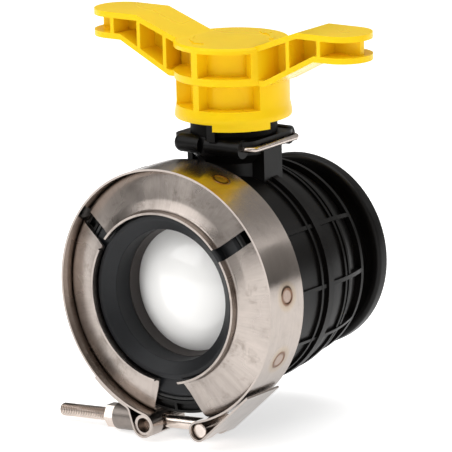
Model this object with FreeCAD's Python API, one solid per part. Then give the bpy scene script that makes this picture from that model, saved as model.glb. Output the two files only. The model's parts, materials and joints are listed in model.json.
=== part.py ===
import FreeCAD, Part
import math
import os

# Quarter-turn plastic ball valve for bulk liquid containers, drawn closed.
# Millimetres. +Y is the flow axis from the container port to the outlet flange, +Z runs up the stem.
# The origin is the centre of the container port's face.

V = FreeCAD.Vector
FLOW = V(0, 1, 0)
UP = V(0, 0, 1)

# Clearances
slide_gap = 0.1          # between pieces that are pushed together and stay
bearing_gap = 0.06       # radial, between a turning shaft and its hole
seal_gap = 0.1           # between a ring seal and its groove
running_gap = 0.3        # between curved faces that move past each other

# Flow path
bore_r = 38.8
ball_r = 59.2
ball_port_r = bore_r - 2.3
port_mouth_r = bore_r + 6.7
port_bevel_end_y = 5.0
face_r = port_mouth_r + 3.1
seat_lip_r = bore_r - 2.1
seat_face_r = bore_r + 4.2
seat_outer_r = bore_r + 7.2
seat_floor_y = 18.0
seat_length = 6.667
seat_ring_r = (bore_r + seat_outer_r) / 2
seat_ring_wire_r = 1.75
seat_ring_groove_w = 4.0
seat_ring_groove_d = 3.6

# The stem axis stands where the seats put the ball's centre
stem_y = seat_floor_y + seat_length + math.sqrt((ball_r + running_gap) ** 2 - seat_lip_r ** 2)

# Body shell
cavity_r = ball_r + 0.9
shell_wall = 3.5
skin_r = cavity_r + shell_wall
flange_r = skin_r + 6.7
flange_thick = 6.0
taper_start_y = stem_y + 5.5
neck_r = bore_r + 7.8
neck_y = stem_y + 58.0

# Seat carrier, the plug that closes the body's front
carrier_r = cavity_r - slide_gap
carrier_edge_cut = 1.6
carrier_rear_y = seat_floor_y + 1.5
carrier_nose_y = seat_floor_y + 8.5
carrier_nose_r = seat_outer_r + 6.0
carrier_ring_wire_r = 1.3
carrier_ring_y = 13.5
carrier_ring_groove_w = 3.2

# Front flange's face
seal_groove_depth = 2.4
seal_wire_r = 1.15
flange_inner_r = carrier_r + 2 * seal_wire_r + 0.3
pocket_count = 24
pocket_inner_r = flange_inner_r + 1.8
pocket_outer_r = flange_r - 1.7
pocket_depth = 4.0
pocket_web = 1.8

# Outlet flange
outlet_flange_r = neck_r + 11.6
outlet_flange_y = neck_y + 4.3
outlet_face_y = outlet_flange_y + 9.5
outlet_dish_r = neck_r + 6.0
outlet_dish_depth = 3.4
outlet_rim_round = 2.6
outlet_bevel = 3.0

# Ribs moulded on the shell, with angles from +X towards the stem
rib_thick = 2.4
rib_angles = (32, 0, -30, -60, -90, -120, -150, 180, 148)
rib_end_y = stem_y + 41.0
rib_end_r = skin_r - 3.1
rib_middle_y = (taper_start_y + rib_end_y) / 2
main_hoop = (stem_y + 1.1, skin_r + 2.6, 5.2)
front_hoop = (stem_y - 6.2, skin_r + 1.6, 1.8)
rear_hoop_places = (stem_y + 19.5, stem_y + 24.1)
rear_hoop_rise = 1.5
rear_hoop_width = 1.6
end_hoop_width = 2.2

# Stem housing and bonnet plate
stem_r = 14.0
housing_r = stem_r + 7.0
stem_flange_r = 24.2
cup_r = stem_flange_r + 2.6
plate_top_z = skin_r + 20.8
plate_thick = 2.6
plate_edge = 0.9         # that the plate stands out past the cup, under the clip's bight
cup_floor_z = plate_top_z - 8.4
cup_bottom_z = cup_floor_z - 3.0
bonnet_base_z = cavity_r - 15.0
plate_half_x = cup_r + plate_edge
plate_half_y = 25.4
plate_corner = 9.0
side_web_half = 9.0
window_post = 3.4
window_bottom_z = cup_bottom_z - 6.5
boss_r = 5.5
boss_x0 = -24.0
boss_end_round = 4.0
boss_end_wall = 3.0
boss_x1 = 23.0
boss_notch_x = -5.8
boss_notch_w = 4.4
boss_notch_d = 3.2
fin_x = -10.2
fin_w = 5.6
fin_depth = 5.0

# Retaining clip
clip_wire_r = 1.7
clip_z = plate_top_z - 4.4
bight_gap = 0.5          # between the clip's bight and the bonnet plate
clip_bend_r = 5.0

# Stem
stem_groove_r = stem_flange_r - 2.9
stem_groove_half = clip_wire_r + 0.4
clip_leg_y = stem_groove_r + clip_wire_r + running_gap   # from the stem axis
collar_r = stem_flange_r + 1.2
head_half = 13.0
tongue_half_thick = 6.0
tongue_half_length = stem_r - 1.0
tongue_bottom_z = ball_r - 9.2
tongue_root_z = tongue_bottom_z + 9.0
slot_floor_gap = 0.5     # under the tongue, in the ball's slot
washer_thick = 1.0
stem_ring_wire_r = 1.2
stem_ring_heights = (cup_floor_z - 11.0, cup_floor_z - 5.4)

# Handle heights, all from the bonnet plate
tab_bottom_z = plate_top_z + 6.0
skirt_z = plate_top_z + 9.6
stop_top_z = plate_top_z + 13.6
shelf_z = plate_top_z + 17.6
shelf_thick = 1.8
mid_ring_z0 = plate_top_z + 32.2
mid_ring_z1 = plate_top_z + 36.9
head_top_z = plate_top_z + 41.6
core_void_top_z = plate_top_z + 46.6
arm_under_z = plate_top_z + 50.0
hub_top_z = plate_top_z + 54.8
arm_top_z = plate_top_z + 66.0

# Handle
hub_r = 34.0
hub_core_r = 24.5
skirt_r = hub_r - 0.9
skirt_wall = 2.2
rim_r = hub_r + 0.3
arm_half = 16.5
arm_tip_x = 95.4
slope_in_x = 27.0
slope_out_x = 57.0
under_in_x = 34.0
under_out_x = 68.5
flange_plate = 3.5       # thickness of the arm's top and bottom flanges
arm_web_half = 2.0
arm_root_x = 29.0        # where the pockets of the flank that meets the hub's wall begin
closed_flank_ribs = (50.7, 72.2)
open_flank_ribs = (36.6, 55.2, 74.3)
arm_rib_thick = 2.4
tip_wall_x = arm_tip_x - 3.9
upper_windows = ((-84.0, -8.5), (-1.0, 54.0))
lower_windows = ((-47.0, -8.5), (-1.0, 63.5))
core_void_r0 = head_half * math.sqrt(2) + 1.2
core_void_r1 = core_void_r0 + 2.4

# Turn stops, with angles about the stem from -Y towards +X
tab_angles = (14.0, 74.0)
tab_end_rib = 4.0        # degrees
stop_inner_r = collar_r + 1.3
stop_outer_r = stop_inner_r + 3.1
lug_width = 10.0         # degrees
turn = 90.0
stop_slack = 0.5         # degrees left at each end of the turn

# Clamp, drawn upright and then rolled about the flow axis
clamp_roll = 2.0
band_r = flange_r + 4.7
band_thick = 1.2
band_width = 31.3
segment_thick = 1.3
segment_bends = (3.2, 14.0, 3.6, 2.6)
lip_r = face_r + 0.5
lip_front_y = -4.2
lip_turn_y = 1.5
dish_r = lip_r + 7.4     # where the channel's front wall is bent a little inwards
dish_y = 4.13
wall_rise = 0.245        # of the front wall outside the dish, per millimetre of radius
tail_y = 23.2
heel_r = skin_r + 2.4
heel_y = 29.6
gap_width = 8.0
gap_angle = 35.0
bottom_gap_inner = 8.2
bottom_gap_outer = 20.5
weld_gap = 0.05

# Clamp latch
pin_x = 17.7
pin_r = 4.6
loop_gap = 0.3
trunnion_x = -21.7
trunnion_r = 6.2
trunnion_bore_r = 4.4
trunnion_gap = 0.1
trunnion_inset = 1.0
bolt_r = 3.95
bolt_end = 109.3
bolt_hole_r = bolt_r + 0.35
slot_width = 2 * bolt_r + 3.1
flap_lift = 1.0
flap_tip_angle = -45.0
flap_tip_drop = 5.3      # of the head's slot below its loop
left_flap_angle = -136.0
left_flap_direction = 105.5
left_flap_bend = 4.0
nut_start = 67.4         # along the bolt, from the T-head's centre
nut_thick = 6.8
nut_flats = 13.0
nut_corner_cut = 0.6
spacer_r = 8.0
head_inset = 2.0


def wall_mid(radius):
    """Place along the flow axis of the middle of the clamp channel's front wall, outside its dish."""
    return dish_y + wall_rise * (radius - dish_r)


def wall_back(radius):
    """Place of a flange face that stands just clear of the channel's front wall."""
    return wall_mid(radius) + segment_thick / 2 * math.hypot(1, wall_rise) + running_gap


def rounded_up(length):
    """Length rounded up to a tenth of a millimetre, as a drawing gives it."""
    return math.ceil(length * 10) / 10


# Sizes that follow from the ones above
carrier_face_y = rounded_up(wall_back(carrier_r - carrier_edge_cut))
flange_face_y = wall_back(flange_inner_r)
flange_rim_y = wall_back(flange_r) + 0.5
flange_back_y = flange_rim_y + flange_thick
seal_groove_floor_y = flange_face_y + seal_groove_depth
carrier_ring_groove_d = 2 * carrier_ring_wire_r + seal_gap - slide_gap
stem_ring_depth = 2 * stem_ring_wire_r + seal_gap / 2
rib_front_r = heel_r - segment_thick / 2 - running_gap
taper_r = (neck_r - skin_r) ** 2 + (neck_y - taper_start_y) ** 2
taper_r = taper_r / (2 * (skin_r - neck_r))
clip_bight_x = plate_half_x + clip_wire_r + bight_gap
clip_x0 = boss_x0 + boss_end_wall + slide_gap
collar_top_z = shelf_z - shelf_thick - slide_gap


def skin_at(y):
    """Radius of the shell's tapered rear, an arc that starts along the flow axis."""
    return skin_r - taper_r + math.sqrt(taper_r ** 2 - (y - taper_start_y) ** 2)


def face_of(points):
    return Part.Face(Part.makePolygon(points + [points[0]]))


def turned(profile, axis=FLOW, centre=V(0, 0, 0)):
    """Solid of revolution of a closed (radius, height) profile about the flow axis or the stem axis."""
    if axis == FLOW:
        points = [V(r, h, 0) for r, h in profile]
    else:
        points = [centre + V(r, 0, h) for r, h in profile]
    return face_of(points).revolve(centre, axis, 360)


def tube(r_out, r_in, y0, y1):
    outer = Part.makeCylinder(r_out, y1 - y0, V(0, y0, 0), FLOW)
    return outer.cut(Part.makeCylinder(r_in, y1 - y0, V(0, y0, 0), FLOW))


def upright(radius, z0, z1):
    """Cylinder about the stem axis."""
    return Part.makeCylinder(radius, z1 - z0, V(0, stem_y, z0), UP)


def box(x0, x1, y0, y1, z0, z1):
    return Part.makeBox(x1 - x0, y1 - y0, z1 - z0, V(x0, y0, z0))


def block(x0, x1, half_y, z0, z1):
    """Box centred on the stem axis in Y."""
    return box(x0, x1, stem_y - half_y, stem_y + half_y, z0, z1)


def sector(r_in, r_out, a0, a1, z0, z1):
    """Arc-shaped block about the stem axis, with angles from -Y towards +X."""
    start = V(r_in, 0, 0)
    strip = face_of([start, V(r_out, 0, 0), V(r_out, 0, z1 - z0), V(r_in, 0, z1 - z0)])
    solid = strip.revolve(V(0, 0, 0), UP, a1 - a0)
    solid.rotate(V(0, 0, 0), UP, a0 - 90)
    solid.translate(V(0, stem_y, z0))
    return solid


def ring_seal(pitch_r, wire_r, y):
    return Part.makeTorus(pitch_r, wire_r, V(0, y, 0), FLOW)


def save(shape, node):
    shape.exportStep("parts/" + node + ".step")


def ball_y(radius, sphere_r, side):
    """Place along the flow axis where a sphere about the ball's centre has the given radius."""
    return stem_y + side * math.sqrt(sphere_r ** 2 - radius ** 2)


def mirrored_y(y):
    return 2 * stem_y - y


def seat(side):
    """Seat ring with a spherical face against the ball, in front (-1) or behind (+1)."""
    sealing_r = ball_r + running_gap
    floor_y = seat_floor_y if side < 0 else mirrored_y(seat_floor_y)
    lip_y = ball_y(seat_lip_r, sealing_r, side)
    crest_y = ball_y(seat_face_r, sealing_r, side)
    shoulder_y = crest_y + side * 3.0
    middle_r = (seat_lip_r + seat_face_r) / 2
    lip = V(seat_lip_r, lip_y, 0)
    crest = V(seat_face_r, crest_y, 0)
    curve = Part.Arc(lip, V(middle_r, ball_y(middle_r, sealing_r, side), 0), crest).toShape()
    rest = Part.makePolygon([crest, V(seat_outer_r - slide_gap, shoulder_y, 0),
                             V(seat_outer_r - slide_gap, floor_y, 0), V(bore_r - 0.4, floor_y, 0), lip])
    outline = Part.Wire([curve] + rest.Edges)
    return Part.Face(outline).revolve(V(0, 0, 0), FLOW, 360)


def seat_ring_groove(side):
    floor_y = seat_floor_y if side < 0 else mirrored_y(seat_floor_y)
    y0, y1 = sorted((floor_y, floor_y + side * seat_ring_groove_d))
    half = seat_ring_groove_w / 2
    return tube(seat_ring_r + half, seat_ring_r - half, y0, y1)


def seat_ring(side):
    floor_y = seat_floor_y if side < 0 else mirrored_y(seat_floor_y)
    return ring_seal(seat_ring_r, seat_ring_wire_r, floor_y + side * (seat_ring_wire_r + seal_gap / 2))


def seat_carrier():
    """Turned plug with the container face, the bore and the front seat's pocket."""
    pocket_y = seat_floor_y
    solid = turned([
        (bore_r, port_bevel_end_y), (port_mouth_r, 0), (face_r - 0.8, 0), (face_r, 0.8),
        (face_r, carrier_face_y), (carrier_r - carrier_edge_cut, carrier_face_y),
        (carrier_r, carrier_face_y + carrier_edge_cut),
        (carrier_r, carrier_rear_y), (carrier_nose_r, carrier_nose_y),
        (seat_outer_r, carrier_nose_y), (seat_outer_r, pocket_y), (bore_r, pocket_y)])
    groove_y = carrier_ring_y - carrier_ring_groove_w / 2
    groove = tube(carrier_r + 1, carrier_r - carrier_ring_groove_d, groove_y, groove_y + carrier_ring_groove_w)
    return solid.cut([groove, seat_ring_groove(-1)])


def shell():
    """Turned outline of the body, with the front flange, the tapered rear and the outlet flange."""
    front = [(0, seal_groove_floor_y), (flange_inner_r, seal_groove_floor_y),
             (flange_inner_r, flange_face_y), (flange_r - 0.4, wall_back(flange_r - 0.4)),
             (flange_r, flange_rim_y), (flange_r, flange_back_y - 3.0), (skin_r, flange_back_y),
             (skin_r, taper_start_y)]
    rear = [(neck_r, neck_y), (neck_r, outlet_flange_y + outlet_dish_depth),
            (outlet_dish_r, outlet_flange_y + outlet_dish_depth), (outlet_dish_r + 1.2, outlet_flange_y),
            (outlet_flange_r, outlet_flange_y), (outlet_flange_r, outlet_face_y), (0, outlet_face_y), front[0]]
    middle_y = (taper_start_y + neck_y) / 2
    middle = V(skin_at(middle_y), middle_y, 0)
    taper = Part.Arc(V(skin_r, taper_start_y, 0), middle, V(neck_r, neck_y, 0)).toShape()
    front_edges = Part.makePolygon([V(r, y, 0) for r, y in front]).Edges
    rear_edges = Part.makePolygon([V(r, y, 0) for r, y in rear]).Edges
    outline = Part.Wire(front_edges + [taper] + rear_edges)
    solid = Part.Face(outline).revolve(V(0, 0, 0), FLOW, 360)
    rim = [e for e in solid.Edges if e.Curve.TypeId == "Part::GeomCircle"
           and abs(e.Curve.Radius - outlet_flange_r) < 0.01]
    return solid.makeFillet(outlet_rim_round, rim)


def cavity():
    """Ball chamber, open to the front, with the rear seat's pocket and the outlet bore."""
    rear_floor = mirrored_y(seat_floor_y)
    front_y = seal_groove_floor_y - 1
    front = Part.makeCylinder(cavity_r, stem_y - front_y, V(0, front_y, 0), FLOW)
    dome = Part.makeSphere(cavity_r, V(0, stem_y, 0))
    pocket = Part.makeCylinder(seat_outer_r, rear_floor - stem_y, V(0, stem_y, 0), FLOW)
    bore = Part.makeCylinder(bore_r, outlet_face_y + 1 - stem_y, V(0, stem_y, 0), FLOW)
    mouth = Part.makeCone(bore_r, bore_r + outlet_bevel, outlet_bevel,
                          V(0, outlet_face_y - outlet_bevel, 0), FLOW)
    return front.fuse([dome, pocket, bore, mouth, seat_ring_groove(1)])


def hoops():
    rings = [main_hoop, front_hoop, (rib_end_y, rib_end_r, end_hoop_width)]
    rings += [(y, skin_at(y) + rear_hoop_rise, rear_hoop_width) for y in rear_hoop_places]
    return [tube(r, neck_r - 3, y - w / 2, y + w / 2) for y, r, w in rings]


def axial_rib(angle):
    """Lengthwise rib from the front flange to the rear hoop, above the shell's taper."""
    inner = neck_r - 3
    start = V(rib_front_r, taper_start_y, 0)
    end = V(rib_end_r - 0.3, rib_end_y, 0)
    over = Part.Arc(start, V(skin_at(rib_middle_y) + 2.2, rib_middle_y, 0), end).toShape()
    front = Part.makePolygon([V(inner, flange_back_y - 1, 0), V(rib_front_r, flange_back_y - 1, 0), start])
    back = Part.makePolygon([end, V(inner, rib_end_y, 0), V(inner, flange_back_y - 1, 0)])
    rib = Part.Face(Part.Wire(front.Edges + [over] + back.Edges)).extrude(V(0, 0, rib_thick))
    rib.translate(V(0, 0, -rib_thick / 2))
    rib.rotate(V(0, 0, 0), FLOW, -angle)
    return rib


def face_pockets():
    """Ring of shallow pockets in the front flange's face."""
    ring = tube(pocket_outer_r, pocket_inner_r, flange_face_y - 1, flange_face_y + pocket_depth)
    webs = []
    for i in range(pocket_count):
        web = Part.makeBox(flange_r, pocket_depth + 3, pocket_web, V(0, flange_face_y - 2, -pocket_web / 2))
        web.rotate(V(0, 0, 0), FLOW, -i * 360.0 / pocket_count)
        webs.append(web)
    return ring.cut(webs)


def rounded_plate(half_x, half_y, corner, z0, z1):
    plate = block(-half_x, half_x, half_y, z0, z1)
    edges = [e for e in plate.Edges if abs(e.BoundBox.ZLength - (z1 - z0)) < 1e-6 and e.BoundBox.XLength < 1e-6]
    return plate.makeFillet(corner, edges)


def end_edges(boss, x):
    """Numbers of the round edges that lie in the plane at x."""
    return [i for i, e in enumerate(boss.Edges)
            if e.Curve.TypeId == "Part::GeomCircle" and abs(e.CenterOfMass.x - x) < 0.01]


def bonnet():
    """Stem housing, cup, plate, side webs and the two bosses for the clip."""
    base_z = bonnet_base_z
    under = plate_top_z - plate_thick
    edge_x = plate_half_x - 0.3
    adds = [upright(housing_r, base_z, cup_bottom_z + 1)]
    adds.append(turned([(0, cup_bottom_z), (housing_r, cup_bottom_z - 4), (cup_r, cup_bottom_z + 2),
                        (cup_r, plate_top_z), (0, plate_top_z)], UP, V(0, stem_y, 0)))
    adds.append(rounded_plate(plate_half_x, plate_half_y, plate_corner, under, plate_top_z))
    adds.append(block(housing_r - 2, edge_x, side_web_half, base_z, under + 1))
    left = block(-edge_x, -edge_x + window_post, side_web_half, base_z, under + 1)
    hatch = block(-plate_half_x - 1, -housing_r, side_web_half - 3.0, window_bottom_z, cup_floor_z)
    adds.append(left.cut(hatch))
    adds.append(block(-edge_x, -housing_r + 2, side_web_half, base_z, window_bottom_z))
    for side in (-1, 1):
        centre_y = stem_y + side * clip_leg_y
        boss = Part.makeCylinder(boss_r, boss_x1 - boss_x0, V(boss_x0, centre_y, clip_z), V(1, 0, 0))
        adds.append(boss.makeFillet(boss_end_round, [boss.Edges[i] for i in end_edges(boss, boss_x0)]))
        y0, y1 = sorted((centre_y - side * boss_r, centre_y + side * (fin_depth - boss_r)))
        fin_left = fin_x if side < 0 else -fin_x - fin_w
        adds.append(box(fin_left, fin_left + fin_w, y0, y1 + 1, base_z, clip_z))
    return adds


def bonnet_cuts():
    """Stem bore, cup bore, room for the collar, clip leg holes and the window in each boss."""
    cuts = [upright(stem_r + bearing_gap, cavity_r - 12, cup_floor_z + 1),
            upright(stem_flange_r + bearing_gap, cup_floor_z, plate_top_z + 1),
            upright(collar_r + running_gap, plate_top_z, plate_top_z + boss_r)]
    for side in (-1, 1):
        centre_y = stem_y + side * clip_leg_y
        start = V(boss_x0 + boss_end_wall, centre_y, clip_z)
        cuts.append(Part.makeCylinder(clip_wire_r + bearing_gap, 2 * plate_half_x, start, V(1, 0, 0)))
        notch_x = boss_notch_x if side < 0 else -boss_notch_x - boss_notch_w
        outer_y = centre_y + side * boss_r
        y0, y1 = sorted((outer_y + side, outer_y - side * boss_notch_d))
        cuts.append(box(notch_x, notch_x + boss_notch_w, y0, y1, clip_z - boss_r - 1, clip_z + boss_r + 1))
    return cuts


def stop_lug(a0):
    """Upright lug on the bonnet plate that one end of the handle's tab comes to."""
    return sector(stop_inner_r, stop_outer_r, a0, a0 + lug_width, plate_top_z - 1, stop_top_z)


def valve_body():
    solid = shell()
    solid = solid.fuse(hoops())
    solid = solid.fuse([axial_rib(angle) for angle in rib_angles])
    solid = solid.fuse(bonnet())
    first = tab_angles[0] - stop_slack - lug_width
    last = tab_angles[1] + turn + stop_slack
    solid = solid.fuse([stop_lug(first), stop_lug(last)])
    solid = solid.cut([cavity(), face_pockets()])
    return solid.cut(bonnet_cuts())


def ball():
    solid = Part.makeSphere(ball_r, V(0, stem_y, 0))
    port = Part.makeCylinder(ball_port_r, 2 * ball_r, V(-ball_r, stem_y, 0), V(1, 0, 0))
    slot_half = tongue_half_thick + slide_gap
    slot_z = tongue_bottom_z - slot_floor_gap
    slot = box(-slot_half, slot_half, stem_y - ball_r / 2, stem_y + ball_r / 2, slot_z, ball_r + 1)
    return solid.cut([port, slot])


def stem():
    """Turned stem with ring grooves, a clip groove, a collar, a square head and a driving tongue."""
    ring_r = stem_r - stem_ring_depth
    half = stem_ring_wire_r + seal_gap
    low, high = stem_ring_heights
    flange_z = cup_floor_z + washer_thick + slide_gap
    collar_z = plate_top_z + running_gap
    profile = [(0, tongue_root_z), (stem_r, tongue_root_z)]
    for z in (low, high):
        profile += [(stem_r, z - half), (ring_r, z - half), (ring_r, z + half), (stem_r, z + half)]
    profile += [(stem_r, flange_z), (stem_flange_r, flange_z),
                (stem_flange_r, clip_z - stem_groove_half), (stem_groove_r, clip_z - stem_groove_half),
                (stem_groove_r, clip_z + stem_groove_half), (stem_flange_r, clip_z + stem_groove_half),
                (stem_flange_r, collar_z), (collar_r, collar_z), (collar_r, collar_top_z), (0, collar_top_z)]
    solid = turned(profile, UP, V(0, stem_y, 0))
    tongue = box(-tongue_half_thick, tongue_half_thick, stem_y - tongue_half_length,
                 stem_y + tongue_half_length, tongue_bottom_z, tongue_root_z + 1)
    tongue = tongue.common(upright(stem_r, tongue_bottom_z, tongue_root_z + 1))
    head = block(-head_half, head_half, head_half, collar_top_z - 1, head_top_z)
    return solid.fuse([tongue, head]).removeSplitter()


def stem_ring(z):
    pitch = stem_r - stem_ring_depth + seal_gap / 2 + stem_ring_wire_r
    return Part.makeTorus(pitch, stem_ring_wire_r, V(0, stem_y, z), UP)


def stem_washer():
    return upright(stem_flange_r - slide_gap, cup_floor_z, cup_floor_z + washer_thick).cut(
        upright(stem_r + 2 * bearing_gap, cup_floor_z - 1, cup_floor_z + washer_thick + 1))


def top_line(x):
    """Height of the handle's top edge at a distance from the stem axis."""
    if x <= slope_in_x:
        return hub_top_z
    if x >= slope_out_x:
        return arm_top_z
    return hub_top_z + (arm_top_z - hub_top_z) * (x - slope_in_x) / (slope_out_x - slope_in_x)


def under_line(x):
    """Height of the arm's under edge at a distance from the stem axis."""
    if x <= under_in_x:
        return mid_ring_z0
    if x >= under_out_x:
        return arm_under_z
    return mid_ring_z0 + (arm_under_z - mid_ring_z0) * (x - under_in_x) / (under_out_x - under_in_x)


def arm_outline(inset):
    """Plan of one arm with a half-round tip, from the stem axis out along +X."""
    half = arm_half - inset
    start = arm_tip_x - arm_half
    low = V(start, stem_y - half, 0)
    high = V(start, stem_y + half, 0)
    tip = Part.Arc(low, V(start + half, stem_y, 0), high).toShape()
    sides = Part.makePolygon([high, V(0, stem_y + half, 0), V(0, stem_y - half, 0), low])
    return Part.Face(Part.Wire([tip] + sides.Edges))


def side_prism(points, y0, y1):
    """Prism across the arm from points in the XZ plane."""
    prism = face_of([V(x, y0, z) for x, z in points]).extrude(V(0, y1 - y0, 0))
    return prism


def arm_pocket(x0, x1, side):
    """Open pocket in one flank between two ribs, between the arm's flanges."""
    bends = [x for x in (slope_in_x, under_in_x, slope_out_x, under_out_x) if x0 < x < x1]
    cuts = [x0] + bends + [x1]
    lower = [(x, under_line(x) + flange_plate) for x in cuts]
    upper = [(x, top_line(x) - flange_plate) for x in reversed(cuts)]
    y0, y1 = sorted((stem_y + side * arm_web_half, stem_y + side * (arm_half + 1)))
    return side_prism(lower + upper, y0, y1)


def flank_pockets(start, ribs, side):
    """Pockets of one flank from its first place out to the tip wall."""
    starts = [start] + [x + arm_rib_thick / 2 for x in ribs]
    ends = [x - arm_rib_thick / 2 for x in ribs] + [tip_wall_x]
    return [arm_pocket(x0, x1, side) for x0, x1 in zip(starts, ends)]


def arm():
    """One arm of the handle, pocketed on both flanks like an I-beam."""
    far = arm_tip_x + 1
    side = side_prism([(0, mid_ring_z0), (under_in_x, mid_ring_z0), (under_out_x, arm_under_z),
                       (far, arm_under_z), (far, arm_top_z), (slope_out_x, arm_top_z),
                       (slope_in_x, hub_top_z), (0, hub_top_z)],
                      stem_y - arm_half, stem_y + arm_half)
    plan = arm_outline(0).extrude(V(0, 0, 2 * arm_top_z))
    solid = side.common(plan)
    solid = solid.cut(flank_pockets(arm_root_x, closed_flank_ribs, -1))
    solid = solid.cut(flank_pockets(hub_core_r, open_flank_ribs, 1))
    tip_side = side_prism([(tip_wall_x - 6, arm_under_z + flange_plate), (far, arm_under_z + flange_plate),
                           (far, arm_top_z - flange_plate), (tip_wall_x - 6, arm_top_z - flange_plate)],
                          stem_y - arm_half, stem_y + arm_half)
    core = arm_outline(arm_tip_x - tip_wall_x).extrude(V(0, 0, 2 * arm_top_z))
    return solid.cut(tip_side.cut(core))


def hub_windows():
    """Windows between the hub's rings, alike under a half turn about the stem."""
    cuts = []
    for half_turn in (0, 180):
        for a0, a1 in upper_windows:
            cuts.append(sector(hub_core_r, hub_r + 2, a0 + half_turn, a1 + half_turn,
                               mid_ring_z1, hub_top_z - flange_plate))
        for a0, a1 in lower_windows:
            cuts.append(sector(hub_core_r, hub_r + 2, a0 + half_turn, a1 + half_turn, shelf_z, mid_ring_z0))
    return cuts


def hub():
    """Turned drum of the handle with its flared skirt, middle ring and top plate."""
    inner = skirt_r - skirt_wall
    return turned([(0, shelf_z - shelf_thick), (inner, shelf_z - shelf_thick), (inner, skirt_z),
                   (rim_r - 1.4, skirt_z), (rim_r - 0.4, skirt_z + 0.4), (rim_r, skirt_z + 1.4),
                   (rim_r - 0.3, skirt_z + 4.0), (skirt_r, shelf_z + 1.0), (skirt_r, mid_ring_z0),
                   (hub_r, mid_ring_z0 + 0.6), (hub_r, hub_top_z - 1.2), (hub_r - 1.2, hub_top_z),
                   (0, hub_top_z)], UP, V(0, stem_y, 0))


def handle():
    """Hub, two arms, and a tab under the skirt whose ends come to the body's lugs."""
    right = arm()
    left = right.copy()
    left.rotate(V(0, stem_y, 0), UP, 180)
    solid = hub().cut(hub_windows())
    keep_out = upright(hub_core_r, mid_ring_z0 - 1, arm_top_z)
    clear = upright(hub_r, mid_ring_z0 - 1, hub_top_z - flange_plate)
    flanks = [a.cut(clear.cut(keep_out)) for a in (left, right)]
    solid = solid.fuse(flanks)
    inner = skirt_r - skirt_wall
    first, last = tab_angles
    tab = [sector(inner, rim_r - 0.4, first, last, tab_bottom_z, skirt_z + 1)]
    for a0 in (first, last - tab_end_rib):
        tab.append(sector(stop_inner_r, inner + 0.2, a0, a0 + tab_end_rib, tab_bottom_z, shelf_z - 1))
    solid = solid.fuse(tab)
    socket = block(-head_half - slide_gap, head_half + slide_gap, head_half + slide_gap,
                   shelf_z - 3, head_top_z + slide_gap)
    core_void = upright(core_void_r1, shelf_z - 3, core_void_top_z).cut(
        upright(core_void_r0, shelf_z - 3, core_void_top_z))
    return solid.cut([socket, core_void])


def retaining_clip():
    """U-shaped wire whose legs run along X on both sides of the stem."""
    near = stem_y - clip_leg_y
    far = stem_y + clip_leg_y
    bend = clip_bend_r
    k = bend * (1 - math.sqrt(0.5))
    corner_x = clip_bight_x - bend
    first = Part.LineSegment(V(clip_x0, near, clip_z), V(corner_x, near, clip_z)).toShape()
    turn_a = Part.Arc(V(corner_x, near, clip_z), V(clip_bight_x - k, near + k, clip_z),
                      V(clip_bight_x, near + bend, clip_z)).toShape()
    bight = Part.LineSegment(V(clip_bight_x, near + bend, clip_z),
                             V(clip_bight_x, far - bend, clip_z)).toShape()
    turn_b = Part.Arc(V(clip_bight_x, far - bend, clip_z), V(clip_bight_x - k, far - k, clip_z),
                      V(corner_x, far, clip_z)).toShape()
    last = Part.LineSegment(V(corner_x, far, clip_z), V(clip_x0, far, clip_z)).toShape()
    path = Part.Wire([first, turn_a, bight, turn_b, last])
    section = Part.Wire(Part.Circle(V(clip_x0, near, clip_z), V(1, 0, 0), clip_wire_r).toShape())
    return path.makePipeShell([section], True, True)


def ribbon(path, thickness, lift):
    """Face of constant thickness along tangent lines and arcs; lift maps flat (u, v) points to space.

    A line is ("line", start, end). An arc is ("arc", centre, radius, first angle, last angle) in degrees.
    """
    half = thickness / 2

    def offset(element, side):
        if element[0] == "line":
            (u0, v0), (u1, v1) = element[1], element[2]
            length = math.hypot(u1 - u0, v1 - v0)
            nu, nv = -(v1 - v0) / length * side, (u1 - u0) / length * side
            return Part.LineSegment(lift(u0 + nu, v0 + nv), lift(u1 + nu, v1 + nv)).toShape()
        _, (cu, cv), radius, a0, a1 = element
        grow = -side if a1 > a0 else side
        rays = [math.radians(a) for a in (a0, (a0 + a1) / 2, a1)]
        ends = [lift(cu + (radius + grow) * math.cos(a), cv + (radius + grow) * math.sin(a)) for a in rays]
        return Part.Arc(*ends).toShape()

    left = [offset(e, half) for e in path]
    right = [offset(e, -half) for e in path]
    caps = []
    for i, end in ((0, 0), (-1, -1)):
        a = left[i].Vertexes[end].Point
        b = right[i].Vertexes[end].Point
        caps.append(Part.LineSegment(a, b).toShape())
    edges = Part.sortEdges(left + right + caps)[0]
    return Part.Face(Part.Wire(edges))


def bent(points, radii):
    """Path of tangent lines and arcs through flat points, with a bend radius at each inner point."""
    path = []
    start = points[0]
    for i in range(1, len(points) - 1):
        (ax, ay), (bx, by), (cx, cy) = points[i - 1], points[i], points[i + 1]
        la = math.hypot(bx - ax, by - ay)
        lc = math.hypot(cx - bx, cy - by)
        ua = ((bx - ax) / la, (by - ay) / la)
        uc = ((cx - bx) / lc, (cy - by) / lc)
        cross = ua[0] * uc[1] - ua[1] * uc[0]
        angle = math.atan2(cross, ua[0] * uc[0] + ua[1] * uc[1])
        radius = radii[i - 1]
        back = radius * math.tan(abs(angle) / 2)
        p = (bx - ua[0] * back, by - ua[1] * back)
        side = 1 if cross > 0 else -1
        centre = (p[0] - ua[1] * radius * side, p[1] + ua[0] * radius * side)
        a0 = math.degrees(math.atan2(p[1] - centre[1], p[0] - centre[0]))
        path.append(("line", start, p))
        path.append(("arc", centre, radius, a0, a0 + math.degrees(angle)))
        start = (bx + uc[0] * back, by + uc[1] * back)
    path.append(("line", start, points[-1]))
    return path


def rolled(shape):
    """Roll a piece of the clamp about the flow axis."""
    shape.rotate(V(0, 0, 0), V(0, -1, 0), clamp_roll)
    return shape


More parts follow.
